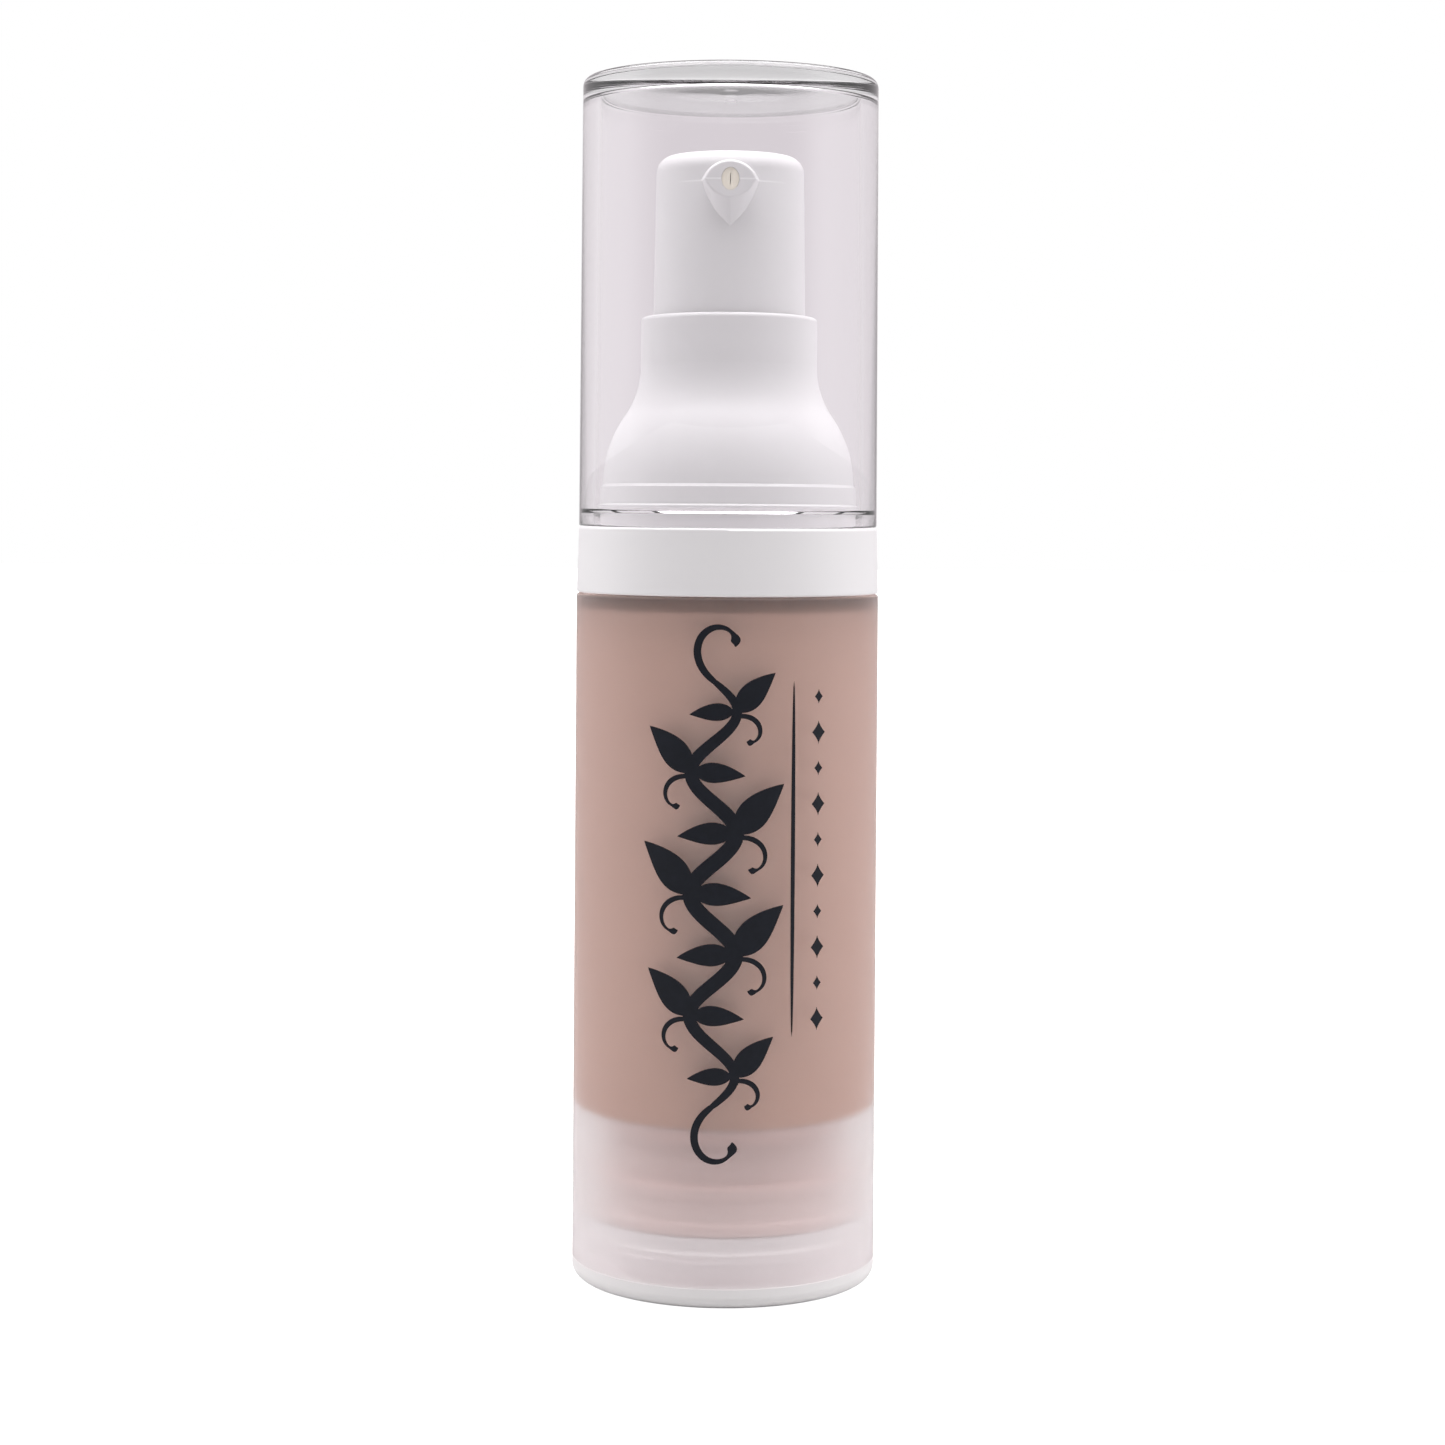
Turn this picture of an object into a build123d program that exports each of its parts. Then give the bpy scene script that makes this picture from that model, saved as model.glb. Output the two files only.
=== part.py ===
from build123d import *
import os

# Airless pump bottle for nominally 30 ml of liquid foundation (28.5 ml as drawn),
# with a clear lift-off overcap.
# Millimetres. The origin is the centre of the ring that the bottle stands on, +Z runs up the bottle's axis
# and the spout faces -Y. Every piece is drawn where it sits when the pump is up and the bottle is full.

# ================================================================ driving dimensions
# What moves, and how far.
follower_travel = 48.5
stroke = 4.0  # of the actuator, stem and rod
slip = 1.0  # of the seal along the rod, which opens and shuts the outlet
ball_lift = 1.2

# Shared sizes.
body_radius = 15.0
body_bore = 13.0
gap = 0.05  # running gap between pieces that slide or touch
seam = 0.02  # gap between two faces that are pressed together
edge_round = 0.25

# Base plug.
foot_recess_radius = 11.6  # hollow under the base, inside the ring it stands on
foot_recess_depth = 0.8
foot_round = 1.2
flange_top = 2.0  # the flange closes the bottom of the body
spigot_radius = body_bore - gap
well_radius = 11.7
plug_top = 6.5
snap_low = 4.1  # bead that clicks into the body's groove
snap_high = 5.1
snap_slope = 0.3
snap_reach = 0.17
snap_room = 0.1
vent_radius = 0.6  # lets air in below the follower

# Follower piston.
piston_foot = plug_top + 0.1
piston_top = 16.8
piston_land = body_bore - 0.07  # radius of the sealing lips
piston_relief = 0.2  # the skirt between the lips stands back this far
piston_core = 11.9  # waist under the upper lip
core_low = 11.4
lip_height = 1.7
dish_radius = 10.9
dish_floor = 12.6
dish_round = 0.8
piston_skirt_bore = 11.2

# Frosted bottle with a threaded neck.
body_top = 67.5
neck_radius = 9.05
neck_bore = 7.9
neck_foot = 71.2
neck_top = 78.6
band_seat_radius = 13.25  # step that the collar's band closes over
band_seat_top = 69.0
shoulder_low = piston_top + follower_travel + 0.7
shoulder_high = shoulder_low + 4.2
shoulder_low_round = 1.5
shoulder_high_round = 0.8

# Screw thread between the neck and the collar.
thread_pitch = 3.0
ridge_height = 0.9
ridge_root_half = 0.75
ridge_crest_half = 0.4
ridge_sunk = 0.2  # how far the ridge's root is buried in the wall it stands on
bottle_thread_low = 73.4
bottle_thread_rise = 3.9
collar_thread_drop = 1.15  # the collar's ridge starts this far below the neck's, flank to flank
collar_thread_rise = 3.0

# Neck gasket.
gasket_radius = 9.5
gasket_thickness = 0.8
gasket_top = neck_top + gasket_thickness

# Pump chamber with the inlet ball's pocket.
pump_flange_radius = 9.7
flange_high = gasket_top + 1.0
neck_plug_radius = neck_bore - 0.1
neck_plug_low = 76.2
chamber_outer = 5.2
chamber_shoulder = 75.2
chamber_bore = 4.3
guide_seat_radius = 6.0
guide_seat = 76.8
pocket_outer = 3.1
pocket_radius = 1.9
pocket_low = 64.1
pocket_high = 65.6
inlet_radius = 1.0
inlet_high = 62.8
inlet_low = dish_floor + follower_travel + 0.3
nipple_radius = 2.2
nipple_high = 62.3
ball_radius = 1.5
ball_height = 64.03
nub_low = ball_height + ball_radius + ball_lift + 0.12  # nubs that hold the ball down
nub_high = nub_low + 0.45
nub_reach = 1.15
nub_width = 0.7

# Fluted rod, sliding seal and hollow stem.
head_low = 72.0
head_radius = 3.2
head_edge = 72.5
rod_head_high = 72.95
chamber_floor = head_low - stroke - 0.4
rod_radius = 1.45
rod_top = 84.0
flute_radius = 0.55
seal_low = rod_head_high + gap
seal_high = seal_low + 2.6
seal_bore = rod_radius + 0.2
seal_lip = 0.3  # thickness of the seal's lips
stem_low = seal_high + slip + seam
stem_collar_radius = 3.5
stem_collar_high = stem_low + 0.8
stem_radius = 2.45
stem_bore = 1.5
stem_top = 100.5
stem_chamfer = 0.3

# Guide that keeps the stem in the chamber.
guide_radius = guide_seat_radius - 0.03
guide_pocket_radius = stem_collar_radius + 0.4
guide_ceiling = stem_collar_high + 0.08
guide_bore = stem_radius + 0.08
guide_boss = 5.3
spring_seat = 81.9

# Return spring round the stem.
spring_mean_radius = 3.9
wire_radius = 0.35
spring_top = 96.0
spring_turns = 7

# Screw collar: band, threaded skirt and clamping web.
band_low = 67.6
band_top = 74.1
band_top_radius = 14.8
band_bore = 13.6
deck_low = 72.9
skirt_low = 71.6
skirt_bore = neck_radius + ridge_height + 0.2
skirt_outer = 11.3
web_low = flange_high + gap
web_top = 81.6
web_hole = guide_boss + 0.2

# Shoulder bell, a dome that turns into a narrow throat.
bell_wall = 0.9
bell_bore = skirt_outer + 0.1
bell_foot_radius = 12.73
bell_step = 78.3
bell_step_half = 0.15
dome_radius = 12.5
dome_arc = 12.2
throat_arc = 8.45
arc_angle = 34.9
bell_top = 95.1
bead_height = 76.2  # bead that grips the overcap
bead_reach = 0.37
bead_half = 0.3

# Actuator and its spout.
actuator_low = 86.5
actuator_low_radius = 7.7
actuator_top = 110.95
actuator_top_radius = 7.34
actuator_round = 1.7
actuator_wall = 0.95
actuator_ceiling = actuator_top - 1.1
boss_radius = 3.7
rib_thickness = 0.8
socket_top = stem_top + 0.1
riser_radius = 1.2
outlet_radius = 0.75
spout_height = 107.9
spout_face = 8.75
spout_width = 4.9
spout_rise = 1.73
spout_root = 5.0  # the spout starts this far from the axis, inside the wall
root_width = 6.1
root_rise = 2.4
root_drop = 9.5
mouth_belly = 0.61, 0.73  # how far out and down the lower edge is, half way to the keel
root_belly = 0.53, 0.53
spout_round = 0.2
tip_half_width = 0.85
tip_half_height = 1.1
tip_depth = 2.6
tip_set_back = 0.12
slit_width = 0.06
slit_height = 1.1

# Clear overcap.
cap_foot = band_top + gap
cap_top = 118.65
cap_foot_radius = 14.8
cap_top_radius = 14.7
cap_round = 0.8
cap_ceiling = 116.5
cap_ceiling_round = 0.5
cap_foot_round = 0.2
mouth_bore = 13.5
mouth_step = 75.8
mouth_slope = 0.3
cap_bore = bell_foot_radius + bead_reach + 0.1
cap_bore_top = 13.0
gate_radius = 0.6
gate_depth = 0.2


def rings_at(piece, height):
    """The circular edges of a piece at one height, the smallest first."""
    circles = piece.edges().filter_by(GeomType.CIRCLE)
    return circles.filter_by_position(Axis.Z, height, height).sort_by(SortBy.RADIUS)


def ridge_plane(helix):
    """The plane of a thread's section, square to the start of its helix, with x pointing outwards."""
    return Plane(origin=helix @ 0, x_dir=(1, 0, 0), z_dir=helix % 0)


def ridge_outline(towards):
    """The corners of a thread ridge. It stands outwards for 1 and inwards for -1."""
    root_half = ridge_root_half + ridge_sunk * (ridge_root_half - ridge_crest_half) / ridge_height
    return [
        (-towards * ridge_sunk, -root_half),
        (towards * ridge_height, -ridge_crest_half),
        (towards * ridge_height, ridge_crest_half),
        (-towards * ridge_sunk, root_half),
    ]


def almond(width, rise, drop, belly):
    """The closed outline of an eye shape, with its tips at the spout's height and its keel below."""
    left = (-width / 2, spout_height)
    right = (width / 2, spout_height)
    keel = (0, spout_height - drop)
    belly_reach = width / 2 * belly[0]
    belly_height = spout_height - drop * belly[1]
    ThreePointArc(left, (0, spout_height + rise), right)
    ThreePointArc(right, (belly_reach, belly_height), keel)
    ThreePointArc(keel, (-belly_reach, belly_height), left)


# ================================================================ base plug
with BuildPart() as base_plug:
    with BuildSketch(Plane.XZ):
        with BuildLine():
            Polyline(
                (0, foot_recess_depth),
                (foot_recess_radius, foot_recess_depth),
                (foot_recess_radius, 0),
                (body_radius, 0),
                (body_radius, flange_top),
                (spigot_radius, flange_top),
                (spigot_radius, snap_low),
                (spigot_radius + snap_reach, snap_low + snap_slope),
                (spigot_radius + snap_reach, snap_high - snap_slope),
                (spigot_radius, snap_high),
                (spigot_radius, plug_top),
                (well_radius, plug_top),
                (well_radius, flange_top),
                (0, flange_top),
                close=True,
            )
        make_face()
    revolve(axis=Axis.Z)
    fillet(rings_at(base_plug, 0)[-1], foot_round)
    fillet(rings_at(base_plug, 0)[0], edge_round)
    fillet(rings_at(base_plug, plug_top), edge_round)
    Hole(vent_radius)

# ================================================================ bottle
groove_radius = body_bore + snap_reach + gap
neck_helix = Helix(
    thread_pitch, bottle_thread_rise, neck_radius, center=(0, 0, bottle_thread_low), mode=Mode.PRIVATE
)

with BuildPart() as bottle:
    with BuildSketch(Plane.XZ):
        with BuildLine():
            Polyline(
                (body_bore, flange_top + seam),
                (body_radius, flange_top + seam),
                (body_radius, body_top),
                (band_seat_radius, body_top),
                (band_seat_radius, band_seat_top),
                (neck_radius, neck_foot),
                (neck_radius, neck_top),
                (neck_bore, neck_top),
                (neck_bore, shoulder_high),
                (body_bore, shoulder_low),
                (body_bore, snap_high + snap_room),
                (groove_radius, snap_high - snap_slope + snap_room),
                (groove_radius, snap_low + snap_slope - snap_room),
                (body_bore, snap_low - snap_room),
                close=True,
            )
        make_face()
    revolve(axis=Axis.Z)
    fillet(rings_at(bottle, body_top)[-1], edge_round)
    fillet(rings_at(bottle, neck_top), edge_round)
    fillet(rings_at(bottle, shoulder_low), shoulder_low_round)
    fillet(rings_at(bottle, shoulder_high), shoulder_high_round)
    with BuildSketch(ridge_plane(neck_helix)):
        with BuildLine():
            Polyline(*ridge_outline(1), close=True)
        make_face()
    sweep(path=neck_helix, is_frenet=True)

# ================================================================ follower piston
skirt_radius = piston_land - piston_relief

with BuildPart() as follower_piston:
    with BuildSketch(Plane.XZ):
        with BuildLine():
            Polyline(
                (0, core_low),
                (piston_skirt_bore, core_low),
                (piston_skirt_bore, piston_foot + 0.8),
                (piston_land - 0.5, piston_foot),
                (piston_land, piston_foot),
                (piston_land, piston_foot + 0.9),
                (skirt_radius, piston_foot + 1.2),
                (skirt_radius, core_low - 1.4),
                (piston_land, core_low - 1.1),
                (piston_land, core_low - 0.5),
                (piston_core, core_low),
                (piston_core, piston_top - lip_height),
                (piston_land, piston_top - 0.4),
                (piston_land, piston_top),
                (piston_land - 0.35, piston_top),
                (dish_radius, piston_top - lip_height - 0.3),
                (dish_radius, dish_floor),
                (0, dish_floor),
                close=True,
            )
        make_face()
    revolve(axis=Axis.Z)
    fillet(rings_at(follower_piston, dish_floor), dish_round)

# ================================================================ pump chamber
with BuildPart() as pump_chamber:
    with BuildSketch(Plane.XZ):
        with BuildLine():
            Polyline(
                (inlet_radius, inlet_low),
                (nipple_radius, inlet_low),
                (nipple_radius, nipple_high),
                (pocket_outer, nipple_high + 0.6),
                (pocket_outer, pocket_high),
                (chamber_outer, pocket_high + 1.4),
                (chamber_outer, chamber_shoulder),
                (neck_plug_radius, neck_plug_low),
                (neck_plug_radius, gasket_top),
                (pump_flange_radius, gasket_top),
                (pump_flange_radius, flange_high),
                (guide_seat_radius, flange_high),
                (guide_seat_radius, guide_seat),
                (chamber_bore, guide_seat),
                (chamber_bore, chamber_floor),
                (pocket_radius, chamber_floor),
                (pocket_radius, pocket_low),
                (inlet_radius, inlet_high),
                close=True,
            )
        make_face()
    revolve(axis=Axis.Z)
    nub_length = pocket_radius + gap - nub_reach
    with BuildSketch(Plane.XY.offset(nub_low)):
        with PolarLocations(nub_reach + nub_length / 2, 3):
            Rectangle(nub_length, nub_width)
    extrude(amount=nub_high - nub_low)

# ================================================================ inlet ball
with BuildPart() as inlet_ball:
    with Locations((0, 0, ball_height)):
        Sphere(ball_radius)

# ================================================================ neck gasket
with BuildPart() as neck_gasket:
    with BuildSketch(Plane.XY.offset(neck_top + seam)):
        Circle(gasket_radius)
        Circle(neck_plug_radius + gap, mode=Mode.SUBTRACT)
    extrude(amount=gasket_thickness - 2 * seam)

# ================================================================ piston rod
with BuildPart() as piston_rod:
    with BuildSketch(Plane.XZ):
        with BuildLine():
            Polyline(
                (0, head_low),
                (head_radius - 0.3, head_low),
                (head_radius, head_edge),
                (head_radius - 0.5, rod_head_high),
                (rod_radius, rod_head_high),
                (rod_radius, rod_top - 0.4),
                (rod_radius - 0.4, rod_top),
                (0, rod_top),
                close=True,
            )
        make_face()
    revolve(axis=Axis.Z)
    # Three flutes carry the liquid up past the rod.
    with BuildSketch(Plane.XY.offset(rod_head_high)):
        with PolarLocations(rod_radius, 3):
            Circle(flute_radius)
    extrude(until=Until.LAST, mode=Mode.SUBTRACT)

# ================================================================ sliding seal
seal_radius = chamber_bore - gap

with BuildPart() as pump_piston:
    with BuildSketch(Plane.XZ):
        with BuildLine():
            Polyline(
                (seal_bore, seal_low),
                (head_radius - 0.2, seal_low),
                (head_radius + 0.2, seal_low + 0.7),
                (seal_radius - seal_lip, seal_low),
                (seal_radius, seal_low),
                (seal_radius - 0.2, seal_low + 1.0),
                (seal_radius - 0.2, seal_high - 0.9),
                (seal_radius, seal_high),
                (seal_radius - seal_lip, seal_high),
                (head_radius, seal_high - 0.8),
                (head_radius - 0.3, seal_high),
                (seal_bore, seal_high),
                close=True,
            )
        make_face()
    revolve(axis=Axis.Z)

# ================================================================ stem
with BuildPart() as stem:
    with BuildSketch(Plane.XZ):
        with BuildLine():
            Polyline(
                (stem_bore, stem_low),
                (stem_collar_radius, stem_low),
                (stem_collar_radius, stem_collar_high),
                (stem_radius, stem_collar_high),
                (stem_radius, stem_top - stem_chamfer),
                (stem_radius - stem_chamfer, stem_top),
                (stem_bore, stem_top),
                close=True,
            )
        make_face()
    revolve(axis=Axis.Z)

# ================================================================ stem guide
with BuildPart() as stem_guide:
    with BuildSketch(Plane.XZ):
        with BuildLine():
            Polyline(
                (guide_pocket_radius, guide_seat + seam),
                (guide_radius, guide_seat + seam),
                (guide_radius, flange_high),
                (guide_boss, flange_high),
                (guide_boss, spring_seat),
                (guide_bore + 0.4, spring_seat),
                (guide_bore, spring_seat - 0.4),
                (guide_bore, guide_ceiling),
                (guide_pocket_radius, guide_ceiling),
                close=True,
            )
        make_face()
    revolve(axis=Axis.Z)

# ================================================================ return spring
coil_low = spring_seat + wire_radius + gap
coil_rise = spring_top - wire_radius - gap - coil_low
coil = Helix(
    coil_rise / spring_turns, coil_rise, spring_mean_radius, center=(0, 0, coil_low), mode=Mode.PRIVATE
)

with BuildPart() as return_spring:
    with BuildSketch(Plane(origin=coil @ 0, x_dir=(1, 0, 0), z_dir=coil % 0)):
        Circle(wire_radius)
    sweep(path=coil, is_frenet=True)

# ================================================================ screw collar
skirt_helix = Helix(
    thread_pitch,
    collar_thread_rise,
    skirt_bore,
    center=(0, 0, bottle_thread_low - collar_thread_drop),
    mode=Mode.PRIVATE,
)

with BuildPart() as screw_collar:
    with BuildSketch(Plane.XZ):
        with BuildLine():
            Polyline(
                (band_bore, band_low),
                (body_radius, band_low),
                (band_top_radius, band_top),
                (skirt_outer, band_top),
                (skirt_outer, web_low),
                (skirt_outer - 0.8, web_top),
                (web_hole, web_top),
                (web_hole, web_low),
                (skirt_bore, web_low),
                (skirt_bore, skirt_low),
                (skirt_outer, skirt_low),
                (skirt_outer, deck_low),
                (band_bore, deck_low),
                close=True,
            )
        make_face()
    revolve(axis=Axis.Z)
    fillet(rings_at(screw_collar, band_top)[-1], edge_round)
    fillet(rings_at(screw_collar, band_low)[-1], edge_round)
    with BuildSketch(ridge_plane(skirt_helix)):
        with BuildLine():
            Polyline(*ridge_outline(-1), close=True)
        make_face()
    sweep(path=skirt_helix, is_frenet=True)

# ================================================================ shoulder bell
with BuildPart() as shoulder_bell:
    with BuildSketch(Plane.XZ):
        with BuildLine():
            foot = Polyline(
                (bell_bore, band_top + seam),
                (bell_foot_radius, band_top + seam),
                (bell_foot_radius, bead_height - bead_half),
                (bell_foot_radius + bead_reach, bead_height - bead_half / 3),
                (bell_foot_radius + bead_reach, bead_height + bead_half / 3),
                (bell_foot_radius, bead_height + bead_half),
                (bell_foot_radius, bell_step - bell_step_half),
                (dome_radius, bell_step + bell_step_half),
            )
            dome = JernArc(foot @ 1, (0, 1), dome_arc, arc_angle)
            throat = JernArc(dome @ 1, dome % 1, throat_arc, -arc_angle)
            throat_radius = (throat @ 1).X
            throat_low = (throat @ 1).Y
            Polyline(
                (throat_radius, throat_low),
                (throat_radius, bell_top),
                (throat_radius - bell_wall, bell_top),
                (throat_radius - bell_wall, throat_low),
            )
            inner_throat = JernArc(
                (throat_radius - bell_wall, throat_low), (0, -1), throat_arc + bell_wall, arc_angle
            )
            inner_dome = JernArc(
                inner_throat @ 1, inner_throat % 1, dome_arc - bell_wall, -arc_angle
            )
            Polyline(inner_dome @ 1, (bell_bore, (inner_dome @ 1).Y), foot @ 0)
        make_face()
    revolve(axis=Axis.Z)
    fillet(rings_at(shoulder_bell, bell_top)[-1], bell_wall / 2)
    fillet(rings_at(shoulder_bell, bell_top)[0], edge_round)

# ================================================================ actuator
with BuildPart() as actuator:
    with BuildSketch(Plane.XZ):
        with BuildLine():
            Polyline(
                (0, actuator_low),
                (actuator_low_radius, actuator_low),
                (actuator_top_radius, actuator_top),
                (0, actuator_top),
                close=True,
            )
        make_face()
    revolve(axis=Axis.Z)
    fillet(rings_at(actuator, actuator_top), actuator_round)
    # The spout grows out of the wall and narrows to an almond at its mouth.
    with BuildSketch(Plane.XZ.offset(spout_root)):
        with BuildLine():
            almond(root_width, root_rise, root_drop, root_belly)
        make_face()
    with BuildSketch(Plane.XZ.offset(spout_face)):
        with BuildLine():
            almond(spout_width, spout_rise, spout_rise, mouth_belly)
        make_face()
    loft()
    fillet(actuator.faces().sort_by(Axis.Y)[0].edges(), spout_round)
    # Hollow under the crown.
    with BuildSketch(Plane.XZ):
        with BuildLine():
            Polyline(
                (0, actuator_low - gap),
                (actuator_low_radius - actuator_wall, actuator_low - gap),
                (actuator_top_radius - actuator_wall, actuator_ceiling),
                (0, actuator_ceiling),
                close=True,
            )
        make_face()
    revolve(axis=Axis.Z, mode=Mode.SUBTRACT)
    # A central boss holds the stem, and its ribs carry the spring.
    with BuildSketch(Plane.XY.offset(spring_top)):
        Circle(boss_radius)
        with PolarLocations(0, 3):
            Rectangle(2 * (actuator_top_radius - actuator_wall) + actuator_wall / 2, rib_thickness)
    extrude(amount=actuator_ceiling - spring_top + gap)
    with BuildSketch(Plane.XY.offset(spring_top)):
        Circle(stem_radius + gap)
    extrude(amount=socket_top - spring_top, mode=Mode.SUBTRACT)
    # The channel runs up from the stem and out to the tip.
    with BuildSketch(Plane.XY.offset(socket_top)):
        Circle(riser_radius)
    extrude(amount=spout_height - socket_top, mode=Mode.SUBTRACT)
    with BuildSketch(Plane.XZ):
        with Locations((0, spout_height)):
            Circle(outlet_radius)
    extrude(amount=spout_face, mode=Mode.SUBTRACT)
    with BuildSketch(Plane.XZ.offset(spout_face - tip_depth)):
        with Locations((0, spout_height)):
            Ellipse(tip_half_width, tip_half_height)
    extrude(amount=tip_depth + gap, mode=Mode.SUBTRACT)

# ================================================================ nozzle tip
# A soft insert whose slit opens under pressure and shuts again.
with BuildPart() as nozzle_tip:
    with BuildSketch(Plane.XZ.offset(spout_face - tip_depth + seam)):
        with Locations((0, spout_height)):
            Ellipse(tip_half_width - seam, tip_half_height - seam)
            Rectangle(slit_width, slit_height, mode=Mode.SUBTRACT)
    extrude(amount=tip_depth - seam - tip_set_back)

# ================================================================ foundation
# It wets the dish, the bottle's wall and the outside of the pump chamber.
with BuildPart() as foundation_fill:
    with BuildSketch(Plane.XZ):
        with BuildLine():
            Polyline(
                (0, dish_floor + gap),
                (dish_radius - dish_round, dish_floor + gap),
                (dish_radius - gap, dish_floor + dish_round + gap),
                (dish_radius - gap, piston_top - lip_height - 0.3 + gap),
                (piston_land - 0.4, piston_top + gap),
                (body_bore - gap, piston_top + gap),
                (body_bore - gap, shoulder_low - shoulder_low_round / 2),
                (body_bore - 0.6, shoulder_low + 0.2),
                (neck_bore - gap, shoulder_high - 0.3),
                (neck_bore - gap, shoulder_high + 0.8),
                (chamber_outer + gap, shoulder_high + 0.8),
                (chamber_outer + gap, pocket_high + 1.4 - gap),
                (pocket_outer + gap, pocket_high - gap),
                (pocket_outer + gap, nipple_high + 0.6 - gap),
                (nipple_radius + gap, nipple_high - gap),
                (nipple_radius + gap, inlet_low - gap),
                (0, inlet_low - gap),
                close=True,
            )
        make_face()
    revolve(axis=Axis.Z)

# ================================================================ overcap
with BuildPart() as overcap:
    with BuildSketch(Plane.XZ):
        with BuildLine():
            Polyline(
                (mouth_bore, cap_foot),
                (cap_foot_radius, cap_foot),
                (cap_top_radius, cap_top),
                (0, cap_top),
                (0, cap_ceiling),
                (cap_bore_top, cap_ceiling),
                (cap_bore, mouth_step),
                (mouth_bore, mouth_step - mouth_slope),
                close=True,
            )
        make_face()
    revolve(axis=Axis.Z)
    fillet(rings_at(overcap, cap_top), cap_round)
    fillet(rings_at(overcap, cap_ceiling), cap_ceiling_round)
    fillet(rings_at(overcap, cap_foot), cap_foot_round)
    # Gate mark under the ceiling.
    with BuildSketch(Plane.XY.offset(cap_ceiling)):
        Circle(gate_radius)
    extrude(amount=-gate_depth)

# ================================================================ one file per piece
pieces = {
    "base_plug": base_plug,
    "bottle": bottle,
    "follower_piston": follower_piston,
    "foundation_fill": foundation_fill,
    "neck_gasket": neck_gasket,
    "pump_chamber": pump_chamber,
    "inlet_ball": inlet_ball,
    "piston_rod": piston_rod,
    "pump_piston": pump_piston,
    "stem": stem,
    "stem_guide": stem_guide,
    "return_spring": return_spring,
    "screw_collar": screw_collar,
    "shoulder_bell": shoulder_bell,
    "actuator": actuator,
    "nozzle_tip": nozzle_tip,
    "overcap": overcap,
}
os.makedirs("parts", exist_ok=True)
for name, piece in pieces.items():
    piece.part.label = name
    export_step(piece.part, f"parts/{name}.step")
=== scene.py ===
import math

import bmesh
import bpy
from bpy.props import FloatProperty, FloatVectorProperty, IntProperty, PointerProperty
from mathutils import Matrix, Vector


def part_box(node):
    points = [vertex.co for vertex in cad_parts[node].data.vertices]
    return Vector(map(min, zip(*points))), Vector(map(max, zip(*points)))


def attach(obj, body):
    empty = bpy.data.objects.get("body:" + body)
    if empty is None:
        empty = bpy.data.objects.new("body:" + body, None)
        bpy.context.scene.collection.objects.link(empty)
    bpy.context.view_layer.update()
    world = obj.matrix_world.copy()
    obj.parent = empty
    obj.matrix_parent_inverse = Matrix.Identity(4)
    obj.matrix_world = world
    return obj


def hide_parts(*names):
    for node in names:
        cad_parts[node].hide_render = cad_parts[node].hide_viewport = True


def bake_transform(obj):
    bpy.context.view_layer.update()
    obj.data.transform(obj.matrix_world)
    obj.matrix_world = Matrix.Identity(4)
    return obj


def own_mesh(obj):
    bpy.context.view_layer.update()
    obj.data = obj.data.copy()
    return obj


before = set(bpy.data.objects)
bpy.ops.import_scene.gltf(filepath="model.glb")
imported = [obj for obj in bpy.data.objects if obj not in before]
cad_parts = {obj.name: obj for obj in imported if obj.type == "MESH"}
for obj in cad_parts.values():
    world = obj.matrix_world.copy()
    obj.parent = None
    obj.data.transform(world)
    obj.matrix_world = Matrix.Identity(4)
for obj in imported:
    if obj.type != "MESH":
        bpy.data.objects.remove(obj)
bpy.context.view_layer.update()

bl_info = {
    "name": "Airless Foundation Bottle",
    "version": (1, 0, 0),
    "blender": (4, 5, 0),
    "location": "View3D > Sidebar > Bottle",
    "description": "Dresses the packed frame of an airless pump bottle in its pieces and finishes",
    "category": "Add Mesh",
}

MM = 0.001
UP = Vector((0, 0, 1))


def low(node):
    """The height of a frame node's lowest point, in millimetres."""
    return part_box(node)[0].z / MM


def high(node):
    """The height of a frame node's highest point, in millimetres."""
    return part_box(node)[1].z / MM


def radius(node):
    """The largest radius of a round frame node, in millimetres."""
    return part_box(node)[1].x / MM


# ------------------------------------------------------------------------------------- settings


class BottleSizes(bpy.types.PropertyGroup):
    """Sizes of the pieces that are made here, in metres."""

    coil_turns: IntProperty(
        name="Active Coils",
        description="Open coils of the return spring, without its closed ends",
        default=6,
        min=1,
    )
    wire: FloatProperty(
        name="Spring Wire",
        description="Radius of the return spring's wire",
        default=0.35 * MM,
        unit="LENGTH",
    )
    print_low: FloatProperty(
        name="Ornament Foot",
        description="Height of the printed ornament's lowest point",
        default=15.3 * MM,
        unit="LENGTH",
    )
    print_high: FloatProperty(
        name="Ornament Tip",
        description="Height of the printed ornament's highest point",
        default=63.6 * MM,
        unit="LENGTH",
    )
    ink_thickness: FloatProperty(
        name="Ink Thickness",
        description="How far the printed ornament stands off the wall",
        default=0.02 * MM,
        unit="LENGTH",
    )


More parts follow.
